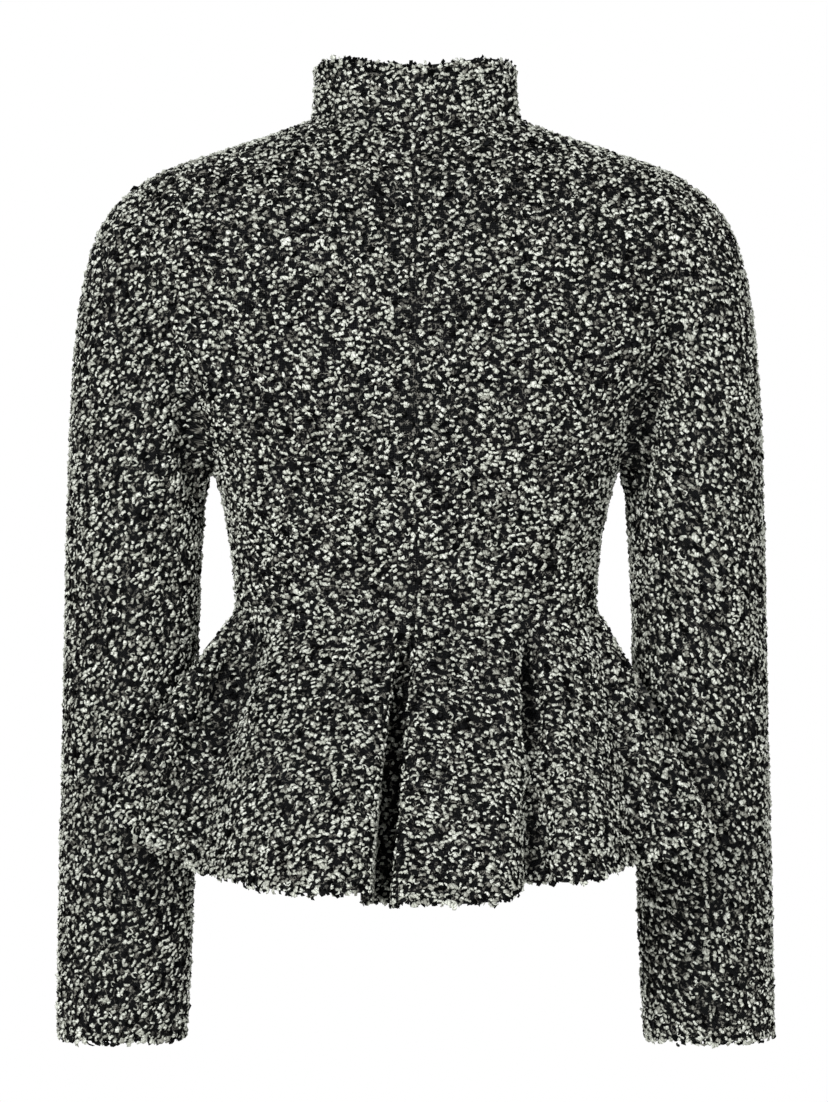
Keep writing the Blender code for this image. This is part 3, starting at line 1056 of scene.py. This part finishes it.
def set_lights(context):
    """Sets the soft lights round the jacket."""
    studio = context.scene.jacket_studio
    for name, spot, side, setting, share in LIGHTS:
        aim = (Vector(LIGHTS_AIM) - Vector(spot)).to_track_quat("-Z", "Y").to_euler()
        bpy.ops.object.light_add(type="AREA", location=spot, rotation=aim)
        light = context.object
        light.name = name
        light.data.size = side
        light.data.energy = share * getattr(studio, setting)


def light_room(scene):
    """Makes an even white room that lights softly and looks plain white to the camera."""
    world = scene.world or bpy.data.worlds.new("studio")
    scene.world = world
    world.use_nodes = True
    tree = world.node_tree
    tree.nodes.clear()
    white = linear("#ffffff")
    rays = add_node(tree, "LightPath")
    even, seen = (
        add_node(tree, "Background", inputs={"Color": white, "Strength": strength})
        for strength in (scene.jacket_studio.sky, 1.0)
    )
    mixed = add_node(
        tree,
        "MixShader",
        links={0: rays.outputs["Is Camera Ray"], 1: even.outputs[0], 2: seen.outputs[0]},
    )
    add_node(tree, "OutputWorld", links={"Surface": mixed.outputs[0]})
    scene.view_settings.view_transform = "Standard"


def measure(name, description, default, subtype="DISTANCE", unit="LENGTH"):
    """A setting with a unit, which is a length in metres if nothing else is said."""
    return FloatProperty(
        name=name, description=description, default=default, subtype=subtype, unit=unit
    )


def tint(name, description, value):
    """A setting that is a colour, from its sRGB hex value."""
    return FloatVectorProperty(
        name=name, description=description, default=linear(value), size=4, subtype="COLOR"
    )


class JacketCloth(bpy.types.PropertyGroup):
    """Sizes of the cloth and its yarn."""

    wall: measure("Cloth wall", "Thickness of the woven ground under the curls", 1.8 * MM)
    curl_depth: measure(
        "Curl depth",
        "How far the ground lies under the outer face, so that the curls reach it",
        2.0 * MM,
    )
    curl_lift: measure("Curl lift", "Height of a curl's middle above the ground", 0.8 * MM)
    curl_tilt: FloatProperty(
        name="Curl tilt",
        description="How unevenly the curls lie on the ground, as a share of level",
        default=0.25,
        min=0.0,
        max=1.0,
    )
    row_pitch: measure("Row pitch", "Distance between rows of curls", 3.35 * MM)
    curl_pitch: measure("Curl pitch", "Distance between curls along a row", 4.7 * MM)
    thread_pitch: measure("Thread pitch", "Spacing of the ground's threads", 1.3 * MM)
    dark_share: FloatProperty(
        name="Dark share",
        description="Share of the places without a pale curl that hold a dark one",
        default=0.5,
        min=0.0,
        max=0.9,
        subtype="FACTOR",
    )
    mottle: FloatProperty(
        name="Mottle",
        description="How strongly pale and dark curls gather in patches",
        default=0.11,
        min=0.0,
        max=2.0,
    )
    seam_pull: measure(
        "Seam pull",
        "How far a seam within the back, the front, a sleeve or the peplum is drawn in",
        1.2 * MM,
    )
    seam_lap: measure(
        "Seam lap", "How far a sewn edge reaches past its cut, so that the seam is shut", 0.25 * MM
    )
    seam_bare: measure(
        "Bare seam", "Strip along such a seam that the stitches hold free of curls", 1.7 * MM
    )
    raw_in: measure(
        "Raw edge",
        "How far the ground's raw edge stays back, so that its fray ends where the panel does",
        1.5 * MM,
    )
    fray_pitch: measure("Fray pitch", "Distance between curls along a raw edge", 1.7 * MM)
    thread_gap: measure(
        "Loose thread gap", "Distance between loose threads along a raw edge", 40.0 * MM
    )
    seed: IntProperty(
        name="Seed", description="Start of the chance that scatters the curls", default=11
    )


class JacketColours(bpy.types.PropertyGroup):
    """Colours of the yarns and of the studio."""

    black: tint("Black yarn", "Deepest wool", "#020202")
    charcoal: tint("Charcoal yarn", "Lighter black wool", "#1d1e1f")
    cream: tint("Cream yarn", "Usual pale wool", "#c6c9be")
    off_white: tint("Off-white yarn", "Palest wool", "#e8ebe2")
    floor: tint("Floor", "Pale paper under the jacket", "#eeeeec")


class JacketStudio(bpy.types.PropertyGroup):
    """Camera, lights and floor."""

    camera_gap: measure(
        "Camera distance", "From the jacket's middle to the camera behind it", 3.2
    )
    view_height: measure("View height", "Height that the picture shows at the jacket", 0.8375)
    view_middle: FloatVectorProperty(
        name="View middle",
        description="Point at the middle of the picture",
        size=3,
        subtype="TRANSLATION",
        unit="LENGTH",
        default=(0.00114, 0.0, -0.32756),
    )
    floor_height: measure("Floor height", "Height of the floor under the neck", -1.0)
    key_power: measure(
        "Key light", "Power of the large light above the camera's left", 75.0, "POWER", "POWER"
    )
    fill_power: measure(
        "Fill light", "Power of the large light at the camera's right", 31.0, "POWER", "POWER"
    )
    sky: FloatProperty(
        name="Room light", description="Strength of the even white room", default=0.42
    )


class JACKET_OT_layout(bpy.types.Operator):
    """Lays out the smooth skins of all the panels and makes the cloth's materials"""

    bl_idname = "jacket.layout"
    bl_label = "Lay out the panels"

    def execute(self, context):
        woven_ground()
        wrong_side()
        for name, levels, *_ in ALL_PANELS:
            lay_out(name, levels)
        for name, *_ in ALL_PANELS:
            pin(name)
        for name, *_ in ALL_PANELS:
            crease(name)
        return {"FINISHED"}


class JACKET_OT_body(bpy.types.Operator):
    """Sews the two back and the two front panels"""

    bl_idname = "jacket.body"
    bl_label = "Body panels"

    def execute(self, context):
        return cut_panels(BODY_PANELS)


class JACKET_OT_sleeves(bpy.types.Operator):
    """Cuts the upper and under halves of both sleeves"""

    bl_idname = "jacket.sleeves"
    bl_label = "Sleeves"

    def execute(self, context):
        return cut_panels(SLEEVE_PANELS)


class JACKET_OT_collar(bpy.types.Operator):
    """Cuts the stand collar"""

    bl_idname = "jacket.collar"
    bl_label = "Stand collar"

    def execute(self, context):
        return cut_panels(COLLAR_PANELS)


class JACKET_OT_peplum(bpy.types.Operator):
    """Cuts the fluted peplum's back and fronts"""

    bl_idname = "jacket.peplum"
    bl_label = "Peplum"

    def execute(self, context):
        return cut_panels(PEPLUM_PANELS)


class JACKET_OT_curls(bpy.types.Operator):
    """Covers every panel with curled yarn and frays the raw edges"""

    bl_idname = "jacket.curls"
    bl_label = "Curls and frayed edges"

    def execute(self, context):
        curled_yarn()
        for number, (name, _, _, pale_share, yaw_spread) in enumerate(ALL_PANELS):
            held = [loop_panel(name, number, pale_share, yaw_spread), fray_panel(name, number)]
        return {"FINISHED"}


class JACKET_OT_stage(bpy.types.Operator):
    """Sets the pale floor, the soft lights and the camera behind the jacket"""

    bl_idname = "jacket.stage"
    bl_label = "Stage"

    def execute(self, context):
        lay_floor(context)
        set_camera(context)
        set_lights(context)
        light_room(context.scene)
        return {"FINISHED"}


OPERATORS = (
    JACKET_OT_layout,
    JACKET_OT_body,
    JACKET_OT_sleeves,
    JACKET_OT_collar,
    JACKET_OT_peplum,
    JACKET_OT_curls,
    JACKET_OT_stage,
)


class JACKET_PT_panel(bpy.types.Panel):
    """Lists the jacket's pieces in the order they are made"""

    bl_idname = "JACKET_PT_panel"
    bl_label = "Bouclé peplum jacket"
    bl_space_type = "VIEW_3D"
    bl_region_type = "UI"
    bl_category = "Jacket"

    def draw(self, context):
        scene = context.scene
        for group in (scene.jacket_cloth, scene.jacket_colours, scene.jacket_studio):
            for name in group.__annotations__:
                self.layout.prop(group, name)
        for operator in OPERATORS:
            self.layout.operator(operator.bl_idname)


CLASSES = (JacketCloth, JacketColours, JacketStudio, *OPERATORS, JACKET_PT_panel)


def register():
    """Adds the jacket's settings, operators and panel to Blender."""
    for made in CLASSES:
        bpy.utils.register_class(made)
    bpy.types.Scene.jacket_cloth = PointerProperty(type=JacketCloth)
    bpy.types.Scene.jacket_colours = PointerProperty(type=JacketColours)
    bpy.types.Scene.jacket_studio = PointerProperty(type=JacketStudio)


def unregister():
    """Takes them out again."""
    del bpy.types.Scene.jacket_studio
    del bpy.types.Scene.jacket_colours
    del bpy.types.Scene.jacket_cloth
    for made in reversed(CLASSES):
        bpy.utils.unregister_class(made)


def main():
    """Makes every piece in order."""
    register()
    bpy.ops.jacket.layout()
    bpy.ops.jacket.body()
    bpy.ops.jacket.sleeves()
    bpy.ops.jacket.collar()
    bpy.ops.jacket.peplum()
    bpy.ops.jacket.curls()
    bpy.ops.jacket.stage()


if __name__ == "__main__":
    main()
